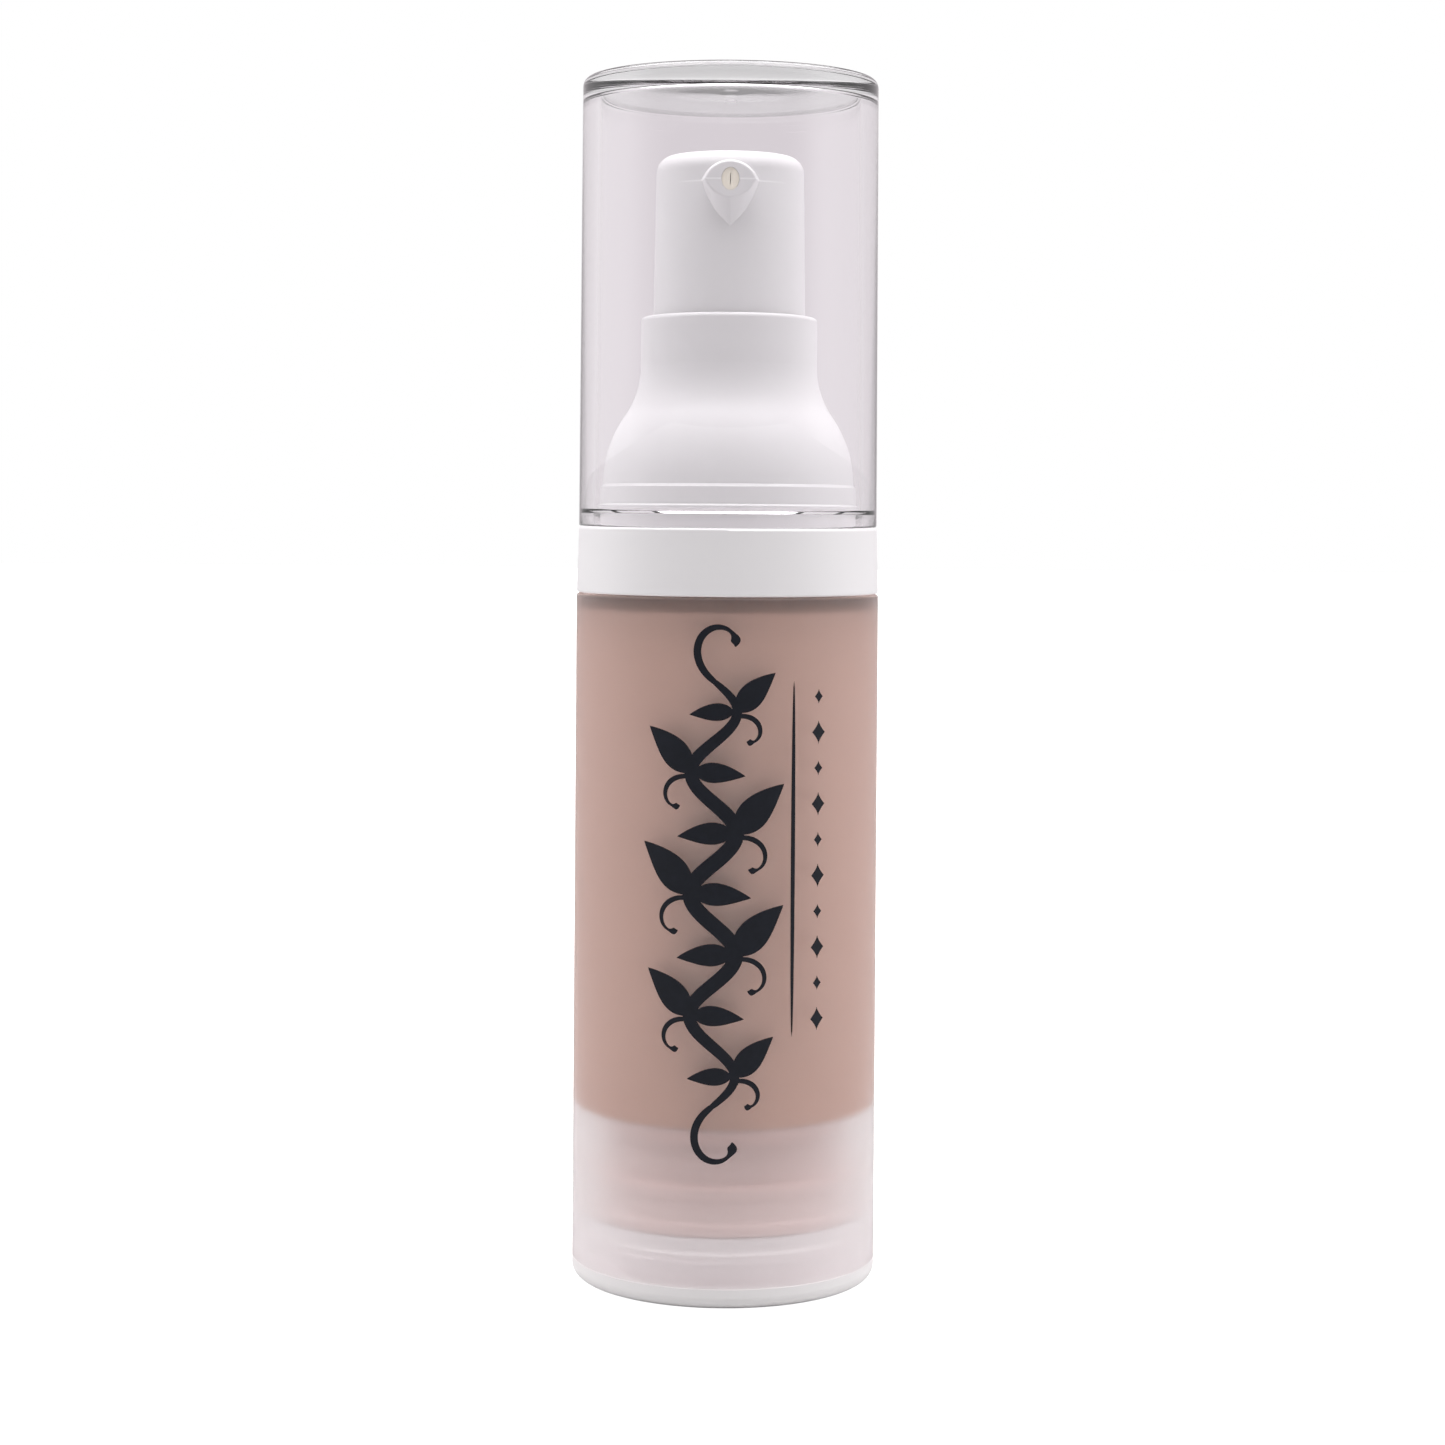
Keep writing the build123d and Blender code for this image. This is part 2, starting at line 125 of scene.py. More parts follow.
class BottleColours(bpy.types.PropertyGroup):
    """Colours of the finishes."""

    foundation: FloatVectorProperty(
        name="Foundation",
        description="Colour of the liquid foundation",
        default=(0.54, 0.325, 0.258),
        subtype="COLOR",
    )
    frost: FloatVectorProperty(
        name="Frosted Wall",
        description="Colour of the frosted plastic",
        default=(0.96, 0.935, 0.94),
        subtype="COLOR",
    )
    follower: FloatVectorProperty(
        name="Follower",
        description="Colour of the follower where no foundation has dried on it",
        default=(0.82, 0.66, 0.63),
        subtype="COLOR",
    )
    film: FloatVectorProperty(
        name="Foundation Film",
        description="Colour of the film of foundation that the follower's lips leave on it",
        default=(0.60, 0.425, 0.39),
        subtype="COLOR",
    )
    moulding: FloatVectorProperty(
        name="Collar Moulding",
        description="Colour of the screw collar",
        default=(0.86, 0.835, 0.85),
        subtype="COLOR",
    )
    head: FloatVectorProperty(
        name="Head Mouldings",
        description="Colour of the shoulder bell and the actuator",
        default=(0.82, 0.81, 0.815),
        subtype="COLOR",
    )
    natural: FloatVectorProperty(
        name="Pump Parts",
        description="Colour of the unpigmented mouldings inside the pump",
        default=(0.80, 0.79, 0.75),
        subtype="COLOR",
    )
    insert: FloatVectorProperty(
        name="Spout Insert",
        description="Colour of the soft insert in the spout",
        default=(1.0, 0.945, 0.82),
        subtype="COLOR",
    )
    cap: FloatVectorProperty(
        name="Overcap",
        description="Tint of the clear plastic",
        default=(0.985, 0.975, 0.985),
        subtype="COLOR",
    )
    ink: FloatVectorProperty(
        name="Ink",
        description="Colour of the printed ornament",
        default=(0.006, 0.007, 0.011),
        subtype="COLOR",
    )


class StudioSettings(bpy.types.PropertyGroup):
    """Camera and light."""

    distance: FloatProperty(
        name="Camera Distance",
        description="Distance of the camera from the bottle's axis",
        default=0.3,
        unit="LENGTH",
    )
    eye: FloatProperty(
        name="Camera Height",
        description="Height of the camera above the floor",
        default=76.9 * MM,
        unit="LENGTH",
    )
    aside: FloatProperty(
        name="Camera Offset",
        description="How far the camera stands to the right of the bottle's axis",
        default=-0.55 * MM,
        unit="LENGTH",
    )
    lens: FloatProperty(
        name="Lens",
        description="Focal length in millimetres for a sensor 36 mm wide",
        default=75.0,
    )
    drop: FloatProperty(
        name="Lens Drop",
        description="Downward shift of the view, as a share of its width",
        default=0.1547,
    )
    roll: FloatProperty(
        name="Camera Roll",
        description="Turn of the camera about its line of sight",
        default=math.radians(0.41),
        subtype="ANGLE",
    )
    front_light: FloatProperty(
        name="Front Light",
        description="Brightness of the studio behind the camera",
        default=0.05,
    )
    side_light: FloatProperty(
        name="Side Light",
        description="Brightness of the studio's sides",
        default=1.55,
    )
    back_light: FloatProperty(
        name="Back Light",
        description="Brightness of the studio behind the bottle",
        default=0.74,
    )
    top_light: FloatProperty(
        name="Overhead Light",
        description="Power of the softbox over the bottle, in watts",
        default=1.7,
    )


# ------------------------------------------------------------------------------------- mesh tools


def finish_mesh(name, bm, material, sharp=35):
    """A new object with bm as its mesh, smooth-shaded up to the sharp angle in degrees."""
    mesh = bpy.data.meshes.new(name)
    bm.to_mesh(mesh)
    bm.free()
    for face in mesh.polygons:
        face.use_smooth = True
    mesh.set_sharp_from_angle(angle=math.radians(sharp))
    mesh.materials.append(material)
    piece = bpy.data.objects.new(name, mesh)
    bpy.context.scene.collection.objects.link(piece)
    return piece


def rounded(corners, arc_steps=8):
    """The outline through corners (radius, height, round), with an arc at each one that has a round."""
    points = []
    for i, (r, z, round_off) in enumerate(corners):
        here = Vector((r, z))
        if round_off == 0 or i in (0, len(corners) - 1):
            points.append(here)
            continue
        before = (Vector(corners[i - 1][:2]) - here).normalized()
        after = (Vector(corners[i + 1][:2]) - here).normalized()
        half_angle = before.angle(after) / 2
        centre = here + (before + after).normalized() * round_off / math.sin(half_angle)
        start = here + before * round_off / math.tan(half_angle) - centre
        end = here + after * round_off / math.tan(half_angle) - centre
        sweep = start.angle_signed(end)
        for step in range(arc_steps + 1):
            turned = start.copy()
            turned.rotate(Matrix.Rotation(-sweep * step / arc_steps, 2))
            points.append(centre + turned)
    return points


def spin_outline(bm, outline, segments):
    """Turns an open outline of (radius, height) points in millimetres about the bottle's axis."""
    verts = [bm.verts.new((p[0] * MM, 0, p[1] * MM)) for p in outline]
    edges = [bm.edges.new(pair) for pair in zip(verts, verts[1:])]
    bmesh.ops.spin(
        bm,
        geom=verts + edges,
        cent=(0, 0, 0),
        axis=UP,
        angle=math.tau,
        steps=segments,
        use_merge=True,
        use_duplicate=False,
    )
    bmesh.ops.remove_doubles(bm, verts=bm.verts, dist=1e-7)
    bmesh.ops.recalc_face_normals(bm, faces=bm.faces)


# ------------------------------------------------------------------------------------- shader groups


def new_group(name, inputs, outputs):
    """An empty shader node group with its interface, its input node and its output node."""
    group = bpy.data.node_groups.new(name, "ShaderNodeTree")
    for label, kind, value in inputs:
        socket = group.interface.new_socket(label, in_out="INPUT", socket_type=kind)
        socket.default_value = value
    for label, kind in outputs:
        group.interface.new_socket(label, in_out="OUTPUT", socket_type=kind)
    return group, group.nodes.new("NodeGroupInput"), group.nodes.new("NodeGroupOutput")


def math_node(tree, operation, *values, clamp=False):
    """A maths node whose inputs are sockets or numbers. Returns its output."""
    node = tree.nodes.new("ShaderNodeMath")
    node.operation = operation
    node.use_clamp = clamp
    for socket, value in zip(node.inputs, values):
        if isinstance(value, bpy.types.NodeSocket):
            tree.links.new(value, socket)
        else:
            socket.default_value = value
    return node.outputs["Value"]


def mix_colour(tree, factor, first, second, blend="MIX"):
    """A colour mix whose inputs are sockets, colours or numbers. Returns its output."""
    node = tree.nodes.new("ShaderNodeMix")
    node.data_type = "RGBA"
    node.blend_type = blend
    for socket, value in zip((node.inputs[0], node.inputs[6], node.inputs[7]), (factor, first, second)):
        if isinstance(value, bpy.types.NodeSocket):
            tree.links.new(value, socket)
        elif isinstance(value, (int, float)):
            socket.default_value = value
        else:
            socket.default_value = (*value, 1.0)
    return node.outputs[2]


def object_coordinates(tree):
    """The piece's own coordinates, in metres."""
    return tree.nodes.new("ShaderNodeTexCoord").outputs["Object"]


def noise(tree, coordinates, scale, detail=3.0, roughness=0.5, distortion=0.0):
    """A noise texture. Returns its value, from 0 to 1."""
    node = tree.nodes.new("ShaderNodeTexNoise")
    node.inputs["Detail"].default_value = detail
    node.inputs["Roughness"].default_value = roughness
    node.inputs["Distortion"].default_value = distortion
    tree.links.new(coordinates, node.inputs["Vector"])
    if isinstance(scale, bpy.types.NodeSocket):
        tree.links.new(scale, node.inputs["Scale"])
    else:
        node.inputs["Scale"].default_value = scale
    return node.outputs["Fac"]


def moulded_grain_group():
    """Fine grain of a moulded surface over a slower waviness, for roughness and bump."""
    group, inlet, outlet = new_group(
        "Moulded Grain",
        [
            ("Grain", "NodeSocketFloat", 6000.0),
            ("Wave", "NodeSocketFloat", 240.0),
            ("Roughness", "NodeSocketFloat", 0.3),
            ("Spread", "NodeSocketFloat", 0.06),
        ],
        [("Roughness", "NodeSocketFloat"), ("Height", "NodeSocketFloat")],
    )
    place = object_coordinates(group)
    grain = noise(group, place, inlet.outputs["Grain"], 2.0, 0.6)
    wave = noise(group, place, inlet.outputs["Wave"], 3.0, 0.5, 0.4)
    centred = math_node(group, "SUBTRACT", wave, 0.5)
    spread = math_node(group, "MULTIPLY", centred, inlet.outputs["Spread"])
    varied = math_node(group, "ADD", inlet.outputs["Roughness"], spread)
    group.links.new(varied, outlet.inputs["Roughness"])
    slow = math_node(group, "MULTIPLY", wave, 0.6)
    height = math_node(group, "MULTIPLY_ADD", grain, 0.4, slow)
    group.links.new(height, outlet.inputs["Height"])
    return group


def tint_drift_group():
    """A colour that drifts towards a second one in soft clouds, as pigment does in a moulding."""
    group, inlet, outlet = new_group(
        "Tint Drift",
        [
            ("Colour", "NodeSocketColor", (0.8, 0.8, 0.8, 1.0)),
            ("Towards", "NodeSocketColor", (0.7, 0.7, 0.7, 1.0)),
            ("Amount", "NodeSocketFloat", 0.2),
            ("Scale", "NodeSocketFloat", 120.0),
        ],
        [("Colour", "NodeSocketColor")],
    )
    cloud = noise(group, object_coordinates(group), inlet.outputs["Scale"], 4.0, 0.55, 0.3)
    share = math_node(group, "MULTIPLY", cloud, inlet.outputs["Amount"])
    colour = mix_colour(group, share, inlet.outputs["Colour"], inlet.outputs["Towards"])
    group.links.new(colour, outlet.inputs["Colour"])
    return group


def height_ramp_group():
    """0 below one height of the piece and 1 above another, with a smooth change between them."""
    group, inlet, outlet = new_group(
        "Height Ramp",
        [("From", "NodeSocketFloat", 0.0), ("To", "NodeSocketFloat", 0.1)],
        [("Share", "NodeSocketFloat")],
    )
    split = group.nodes.new("ShaderNodeSeparateXYZ")
    group.links.new(object_coordinates(group), split.inputs[0])
    ramp = group.nodes.new("ShaderNodeMapRange")
    ramp.interpolation_type = "SMOOTHSTEP"
    group.links.new(split.outputs["Z"], ramp.inputs["Value"])
    group.links.new(inlet.outputs["From"], ramp.inputs["From Min"])
    group.links.new(inlet.outputs["To"], ramp.inputs["From Max"])
    group.links.new(ramp.outputs["Result"], outlet.inputs["Share"])
    return group


def specks_group():
    """Sparse dark specks of dust and pigment."""
    group, inlet, outlet = new_group(
        "Specks",
        [("Scale", "NodeSocketFloat", 260.0), ("Size", "NodeSocketFloat", 0.035)],
        [("Mask", "NodeSocketFloat")],
    )
    cells = group.nodes.new("ShaderNodeTexVoronoi")
    group.links.new(object_coordinates(group), cells.inputs["Vector"])
    group.links.new(inlet.outputs["Scale"], cells.inputs["Scale"])
    near = math_node(group, "LESS_THAN", cells.outputs["Distance"], inlet.outputs["Size"])
    split = group.nodes.new("ShaderNodeSeparateColor")
    group.links.new(cells.outputs["Color"], split.inputs[0])
    rare = math_node(group, "GREATER_THAN", split.outputs[0], 0.72)
    group.links.new(math_node(group, "MULTIPLY", near, rare), outlet.inputs["Mask"])
    return group


def parting_highlight_group():
    """A painted highlight along a level line on the front of a piece, which fades out to both sides."""
    group, inlet, outlet = new_group(
        "Parting Highlight",
        [
            ("Height", "NodeSocketFloat", 0.1),
            ("Reach", "NodeSocketFloat", 0.005),
            ("Width", "NodeSocketFloat", 0.0001),
        ],
        [("Mask", "NodeSocketFloat")],
    )
    split = group.nodes.new("ShaderNodeSeparateXYZ")
    group.links.new(object_coordinates(group), split.inputs[0])
    above = math_node(group, "SUBTRACT", split.outputs["Z"], inlet.outputs["Height"])
    gap = math_node(group, "ABSOLUTE", above)
    away = math_node(group, "DIVIDE", gap, inlet.outputs["Width"])
    line = math_node(group, "SUBTRACT", 1.0, away, clamp=True)
    aside = math_node(group, "ABSOLUTE", split.outputs["X"])
    share = math_node(group, "DIVIDE", aside, inlet.outputs["Reach"])
    fade = math_node(group, "SUBTRACT", 1.0, math_node(group, "POWER", share, 3.0), clamp=True)
    front = math_node(group, "LESS_THAN", split.outputs["Y"], 0.0)
    seen = math_node(group, "MULTIPLY", fade, front)
    group.links.new(math_node(group, "MULTIPLY", line, seen), outlet.inputs["Mask"])
    return group


def place_group(tree, group, **values):
    """Puts a node group in a tree, with its input values by name. Returns the node."""
    node = tree.nodes.new("ShaderNodeGroup")
    node.node_tree = group
    for label, value in values.items():
        node.inputs[label].default_value = value
    return node


# ------------------------------------------------------------------------------------- materials


def new_material(name):
    """A material with its tree and its Principled shader."""
    material = bpy.data.materials.new(name)
    material.use_nodes = True
    return material, material.node_tree, material.node_tree.nodes["Principled BSDF"]


def add_grain(tree, shader, bump, **values):
    """Gives a shader the moulded grain in its roughness and its bump, whose strength is bump."""
    grain = place_group(tree, bpy.data.node_groups["Moulded Grain"], **values)
    tree.links.new(grain.outputs["Roughness"], shader.inputs["Roughness"])
    relief = tree.nodes.new("ShaderNodeBump")
    relief.inputs["Strength"].default_value = bump
    relief.inputs["Distance"].default_value = 0.05 * MM
    tree.links.new(grain.outputs["Height"], relief.inputs["Height"])
    tree.links.new(relief.outputs["Normal"], shader.inputs["Normal"])


def drifting(tree, colour, towards, amount, scale):
    """The output of a tint drift between two colours."""
    node = place_group(tree, bpy.data.node_groups["Tint Drift"], Amount=amount, Scale=scale)
    node.inputs["Colour"].default_value = (*colour, 1.0)
    node.inputs["Towards"].default_value = (*towards, 1.0)
    return node.outputs["Colour"]


def let_light_through(tree, shader, tint):
    """Lets shadow rays and diffuse rays pass straight through, tinted, so that the inside isn't dark."""
    path = tree.nodes.new("ShaderNodeLightPath")
    passes = math_node(tree, "MAXIMUM", path.outputs["Is Shadow Ray"], path.outputs["Is Diffuse Ray"])
    through = tree.nodes.new("ShaderNodeBsdfTransparent")
    through.inputs["Color"].default_value = (*tint, 1.0)
    mix = tree.nodes.new("ShaderNodeMixShader")
    tree.links.new(passes, mix.inputs[0])
    tree.links.new(shader.outputs[0], mix.inputs[1])
    tree.links.new(through.outputs[0], mix.inputs[2])
    tree.links.new(mix.outputs[0], tree.nodes["Material Output"].inputs["Surface"])


def scaled(colour, factor):
    """A colour made lighter or darker."""
    return tuple(min(1.0, channel * factor) for channel in colour)


def frosted_wall(colours):
    """Frosted translucent plastic of the body."""
    material, tree, shader = new_material("Frosted Wall")
    tint = drifting(tree, colours.frost, scaled(colours.frost, 0.95), 0.5, 90.0)
    tree.links.new(tint, shader.inputs["Base Color"])
    shader.inputs["Transmission Weight"].default_value = 0.93
    shader.inputs["IOR"].default_value = 1.4
    add_grain(tree, shader, 0.05, Grain=9000.0, Wave=160.0, Roughness=0.46, Spread=0.08)
    let_light_through(tree, shader, colours.frost)
    return material


def frosted_base(colours):
    """Frosted plastic of the base plug, milkier than the wall."""
    material, tree, shader = new_material("Frosted Base")
    tint = drifting(tree, scaled(colours.frost, 1.04), colours.frost, 0.5, 110.0)
    tree.links.new(tint, shader.inputs["Base Color"])
    shader.inputs["Transmission Weight"].default_value = 0.08
    shader.inputs["IOR"].default_value = 1.4
    add_grain(tree, shader, 0.05, Grain=9000.0, Wave=160.0, Roughness=0.45, Spread=0.08)
    return material


def liquid_foundation(colours):
    """The foundation, with the faint streaks of a thick liquid."""
    material, tree, shader = new_material("Liquid Foundation")
    tint = drifting(tree, colours.foundation, scaled(colours.foundation, 0.86), 0.7, 45.0)
    tree.links.new(tint, shader.inputs["Base Color"])
    add_grain(tree, shader, 0.1, Grain=700.0, Wave=60.0, Roughness=0.4, Spread=0.2)
    return material


def follower_plastic(colours):
    """White polyethylene of the follower, more and more coated with foundation towards its upper lip."""
    material, tree, shader = new_material("Follower Plastic")
    plain = drifting(tree, colours.follower, scaled(colours.follower, 0.93), 0.6, 150.0)
    coated = drifting(tree, colours.film, scaled(colours.film, 0.9), 0.5, 90.0)
    ramp = place_group(tree, bpy.data.node_groups["Height Ramp"])
    ramp.inputs["From"].default_value = low("follower_piston") * MM
    ramp.inputs["To"].default_value = high("follower_piston") * MM
    tree.links.new(mix_colour(tree, ramp.outputs["Share"], plain, coated), shader.inputs["Base Color"])
    add_grain(tree, shader, 0.1, Grain=5000.0, Wave=300.0, Roughness=0.42, Spread=0.1)
    return material


def white_moulding(name, colour, roughness, grain, bump):
    """Pigmented white plastic."""
    material, tree, shader = new_material(name)
    clean = drifting(tree, colour, scaled(colour, 0.96), 0.5, 80.0)
    specks = place_group(tree, bpy.data.node_groups["Specks"], Scale=190.0, Size=0.02)
    dusted = mix_colour(tree, specks.outputs["Mask"], clean, scaled(colour, 0.6))
    tree.links.new(dusted, shader.inputs["Base Color"])
    shader.inputs["IOR"].default_value = 1.49
    add_grain(tree, shader, bump, Grain=grain, Wave=260.0, Roughness=roughness, Spread=0.08)
    return material


def actuator_plastic(colours):
    """White plastic of the push-down head, with a painted highlight along the line where its mould parts
    beside the spout.
    """
    material = white_moulding("Actuator Plastic", colours.head, 0.33, 8000.0, 0.04)
    tree = material.node_tree
    shader = tree.nodes["Principled BSDF"]
    # The parting line is real, but its bright crest is a painted highlight: white is mixed into the
    # colour, on the front only.
    crest_highlight = place_group(tree, bpy.data.node_groups["Parting Highlight"])
    crest_highlight.inputs["Height"].default_value = (low("nozzle_tip") + high("nozzle_tip")) / 2 * MM
    crest_highlight.inputs["Reach"].default_value = 5.4 * MM
    crest_highlight.inputs["Width"].default_value = 0.11 * MM
    plain = shader.inputs["Base Color"].links[0].from_socket
    highlighted = mix_colour(tree, crest_highlight.outputs["Mask"], plain, (1.0, 1.0, 1.0))
    tree.links.new(highlighted, shader.inputs["Base Color"])
    return material


def natural_plastic(colours):
    """Unpigmented polypropylene of the pump's inner pieces."""
    material, tree, shader = new_material("Natural Plastic")
    tint = drifting(tree, colours.natural, scaled(colours.natural, 0.9), 0.6, 200.0)
    tree.links.new(tint, shader.inputs["Base Color"])
    shader.inputs["Transmission Weight"].default_value = 0.25
    add_grain(tree, shader, 0.08, Grain=7000.0, Wave=400.0, Roughness=0.38, Spread=0.1)
    return material


def soft_seal(colours):
    """Matt white elastomer of the gasket and the sliding seal."""
    material, tree, shader = new_material("Soft Seal")
    tint = drifting(tree, scaled(colours.natural, 0.95), scaled(colours.natural, 0.8), 0.5, 400.0)
    tree.links.new(tint, shader.inputs["Base Color"])
    add_grain(tree, shader, 0.25, Grain=12000.0, Wave=900.0, Roughness=0.62, Spread=0.1)
    return material


def cream_insert(colours):
    """Soft cream elastomer of the spout's insert."""
    material, tree, shader = new_material("Cream Insert")
    tint = drifting(tree, colours.insert, scaled(colours.insert, 0.9), 0.5, 700.0)
    tree.links.new(tint, shader.inputs["Base Color"])
    add_grain(tree, shader, 0.15, Grain=14000.0, Wave=1500.0, Roughness=0.5, Spread=0.1)
    return material


def steel(name, roughness, grain):
    """Bright stainless steel with fine drawing marks."""
    material, tree, shader = new_material(name)
    tint = drifting(tree, (0.62, 0.61, 0.60), (0.42, 0.41, 0.40), 0.6, 500.0)
    tree.links.new(tint, shader.inputs["Base Color"])
    shader.inputs["Metallic"].default_value = 1.0
    add_grain(tree, shader, 0.12, Grain=grain, Wave=1200.0, Roughness=roughness, Spread=0.12)
    return material


def clear_plastic(colours):
    """Polished clear plastic of the overcap, with faint handling haze."""
    material, tree, shader = new_material("Clear Plastic")
    shader.inputs["Base Color"].default_value = (*colours.cap, 1.0)
    shader.inputs["Transmission Weight"].default_value = 1.0
    shader.inputs["IOR"].default_value = 1.5
    place = object_coordinates(tree)
    streaks = tree.nodes.new("ShaderNodeMapping")
    streaks.inputs["Scale"].default_value = (1.0, 1.0, 0.12)
    tree.links.new(place, streaks.inputs["Vector"])
    haze = noise(tree, streaks.outputs["Vector"], 420.0, 4.0, 0.6)
    ramp = tree.nodes.new("ShaderNodeMapRange")
    ramp.inputs["From Min"].default_value = 0.55
    ramp.inputs["From Max"].default_value = 0.8
    ramp.inputs["To Min"].default_value = 0.012
    ramp.inputs["To Max"].default_value = 0.05
    tree.links.new(haze, ramp.inputs["Value"])
    tree.links.new(ramp.outputs["Result"], shader.inputs["Roughness"])
    let_light_through(tree, shader, scaled(colours.cap, 1.01))
    return material


def screen_ink(colours):
    """Screen-printed ink, a little uneven and half gloss."""
    material, tree, shader = new_material("Screen Ink")
    tint = drifting(tree, colours.ink, scaled(colours.ink, 2.5), 0.7, 900.0)
    tree.links.new(tint, shader.inputs["Base Color"])
    shader.inputs["Specular IOR Level"].default_value = 0.2
    add_grain(tree, shader, 0.3, Grain=9000.0, Wave=1200.0, Roughness=0.5, Spread=0.15)
    return material


# ------------------------------------------------------------------------------------- pieces


class BOTTLE_OT_finishes(bpy.types.Operator):
    """Make the shader groups and give every piece of the frame that stays its finish"""

    bl_idname = "bottle.finishes"
    bl_label = "Finishes"

    def execute(self, context):
        colours = context.scene.bottle_colours
        moulded_grain_group()
        tint_drift_group()
        height_ramp_group()
        specks_group()
        parting_highlight_group()
        natural = natural_plastic(colours)
        seal = soft_seal(colours)
        finishes = {
            "bottle": frosted_wall(colours),
            "base_plug": frosted_base(colours),
            "follower_piston": follower_plastic(colours),
            "neck_gasket": seal,
            "pump_piston": seal,
            "pump_chamber": natural,
            "piston_rod": natural,
            "stem": natural,
            "stem_guide": natural,
            "inlet_ball": steel("Ball Steel", 0.12, 4000.0),
            "screw_collar": white_moulding("Collar Plastic", colours.moulding, 0.36, 7000.0, 0.06),
            "shoulder_bell": white_moulding("Bell Plastic", colours.head, 0.3, 8000.0, 0.04),
            "actuator": actuator_plastic(colours),
            "nozzle_tip": cream_insert(colours),
        }
        for node, material in finishes.items():
            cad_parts[node].data.materials.clear()
            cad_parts[node].data.materials.append(material)
        return {"FINISHED"}


class BOTTLE_OT_foundation(bpy.types.Operator):
    """Fill the bottle, from the follower's dish to the shoulder"""

    bl_idname = "bottle.foundation"
    bl_label = "Foundation"

    def execute(self, context):
        # Heights and radii in millimetres. The liquid wets the wall, so it reaches a hair into
        # the wall and leaves no film of air.
        wall = radius("foundation_fill") + 0.1
        foot = low("foundation_fill")
        crown = high("foundation_fill")
        lip = high("follower_piston")
        dish = 10.85
        land = 12.53
        inlet = low("pump_chamber")
        nipple = 2.25
        pocket = 3.15
        chamber = 5.25
        throat = 7.95
        outline = rounded(
            [
                (0, foot, 0),
                (dish, foot, 0.8),
                (dish, lip - 1.95, 0),
                (land, lip + 0.05, 0),
                (wall, lip + 0.05, 0),
                (wall, crown - 5.0, 0),
                (throat, crown - 0.75, 0),
                (throat, crown, 0),
                (chamber, crown, 0),
                (chamber, inlet + 5.55, 0),
                (pocket, inlet + 4.15, 0),
                (pocket, inlet + 1.45, 0),
                (nipple, inlet + 0.85, 0),
                (nipple, inlet - 0.05, 0),
                (0, inlet - 0.05, 0),
            ]
        )
        bm = bmesh.new()
        spin_outline(bm, outline, 96)
        piece = finish_mesh("foundation", bm, liquid_foundation(context.scene.bottle_colours))
        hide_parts("foundation_fill")
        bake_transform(piece)
        return {"FINISHED"}


class BOTTLE_OT_spring(bpy.types.Operator):
    """Wind the return spring, with a closed coil at each end"""

    bl_idname = "bottle.spring"
    bl_label = "Return Spring"

    def execute(self, context):
        sizes = context.scene.bottle_sizes
        wire = sizes.wire
        foot = low("return_spring") * MM
        top = high("return_spring") * MM
        turn_steps = 40
        coil_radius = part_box("return_spring")[1].x - wire
        closed_rise = 2 * wire
        open_rise = (top - foot - 2 * wire - 2 * closed_rise) / sizes.coil_turns
        bm = bmesh.new()
        section = bmesh.ops.create_circle(bm, segments=12, radius=wire)
        bmesh.ops.rotate(
            bm, verts=section["verts"], cent=(0, 0, 0), matrix=Matrix.Rotation(math.pi / 2, 3, "X")
        )
        bmesh.ops.translate(bm, verts=section["verts"], vec=(coil_radius, 0, foot + wire))
        loop = section["verts"] + list(bm.edges)
        ends = [list(bm.edges)]
        for turns, rise in ((1, closed_rise), (sizes.coil_turns, open_rise), (1, closed_rise)):
            spun = bmesh.ops.spin(
                bm,
                geom=loop,
                cent=(0, 0, 0),
                axis=UP,
                dvec=(0, 0, rise / turn_steps),
                angle=math.tau * turns,
                steps=turn_steps * turns,
                use_merge=False,
                use_duplicate=False,
            )
            loop = spun["geom_last"]
        ends.append([part for part in loop if isinstance(part, bmesh.types.BMEdge)])
        for ring in ends:
            bmesh.ops.contextual_create(bm, geom=ring)
        bmesh.ops.recalc_face_normals(bm, faces=bm.faces)
        piece = finish_mesh("spring", bm, steel("Spring Steel", 0.26, 3000.0), sharp=60)
        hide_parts("return_spring")
        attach(piece, "pump")
        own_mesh(piece)
        return {"FINISHED"}


class BOTTLE_OT_overcap(bpy.types.Operator):
    """Mould the clear overcap"""

    bl_idname = "bottle.overcap"
    bl_label = "Overcap"

    def execute(self, context):
        foot = low("overcap")
        top = high("overcap")
        outside = radius("overcap")
        ceiling = top - 2.15
        bore = 13.2
        mouth = 13.5
        gate = 0.6
        gate_depth = 0.2
        outline = rounded(
            [
                (0, ceiling - gate_depth, 0),
                (gate, ceiling - gate_depth, 0.08),
                (gate, ceiling, 0.08),
                (bore - 0.2, ceiling, 0.5),
                (bore, foot + 1.65, 0.3),
                (mouth, foot + 1.35, 0.1),
                (mouth, foot, 0.2),
                (outside, foot, 0.2),
                (outside - 0.1, top, 0.85),
                (0, top, 0),
            ]
        )
        bm = bmesh.new()
        spin_outline(bm, outline, 256)
        piece = finish_mesh("clear_overcap", bm, clear_plastic(context.scene.bottle_colours), sharp=50)
        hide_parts("overcap")
        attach(piece, "cap")
        return {"FINISHED"}


# ------------------------------------------------------------------------------------- ornament


